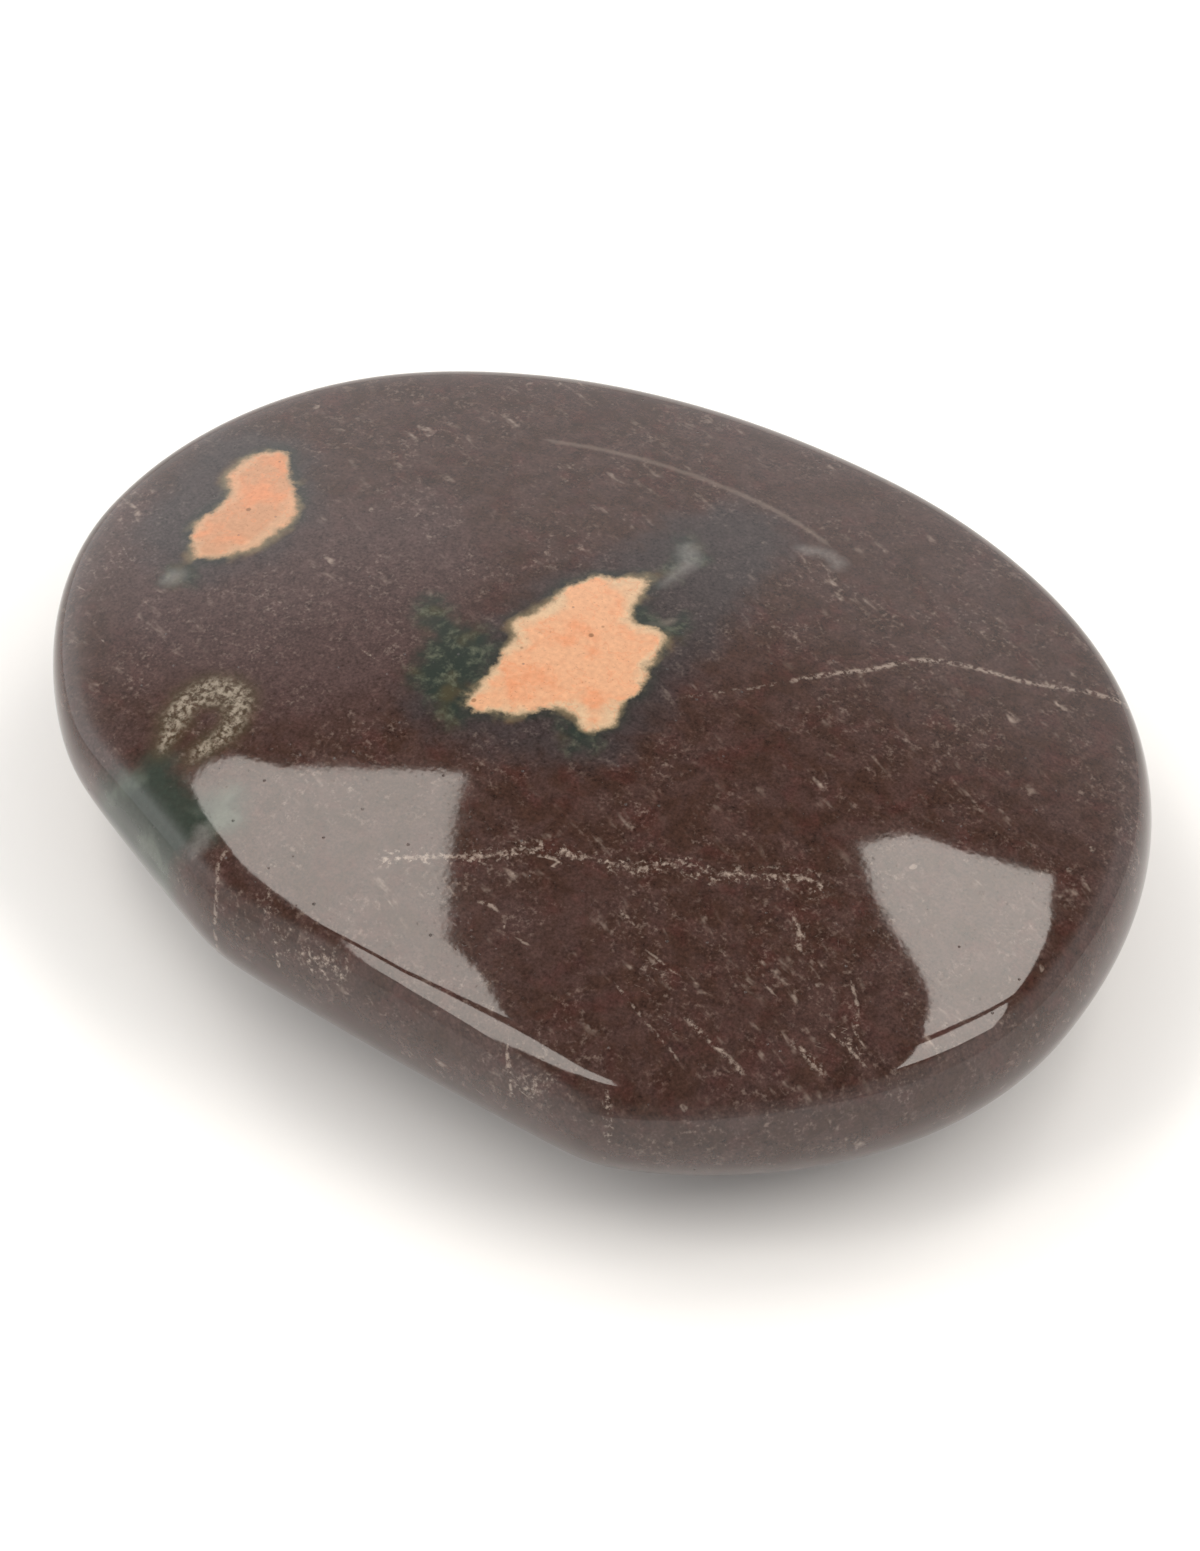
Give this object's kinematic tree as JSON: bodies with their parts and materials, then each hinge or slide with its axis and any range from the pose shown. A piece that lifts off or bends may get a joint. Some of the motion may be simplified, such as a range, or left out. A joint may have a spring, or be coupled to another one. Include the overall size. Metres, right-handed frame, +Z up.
{
  "type": "polished palm stone",
  "caption": "Flat oval palm stone of dark plum-brown rock with salmon spots, a domed top, a rounded edge with two worn flats, and a small flat to rest on.",
  "frame": {"origin": "on the table plane, under the middle of the stone's bounding box", "axes": "+X along the stone's length towards its narrower end, +Y towards its fuller long side, away from the two worn flats, +Z up from the resting flat"},
  "size_m": [0.0678, 0.0512, 0.0168],
  "materials": {
    "polished_stone": "polished"
  },
  "bodies": {
    "root": {"palm_stone": "polished_stone"}
  },
  "joints": []
}
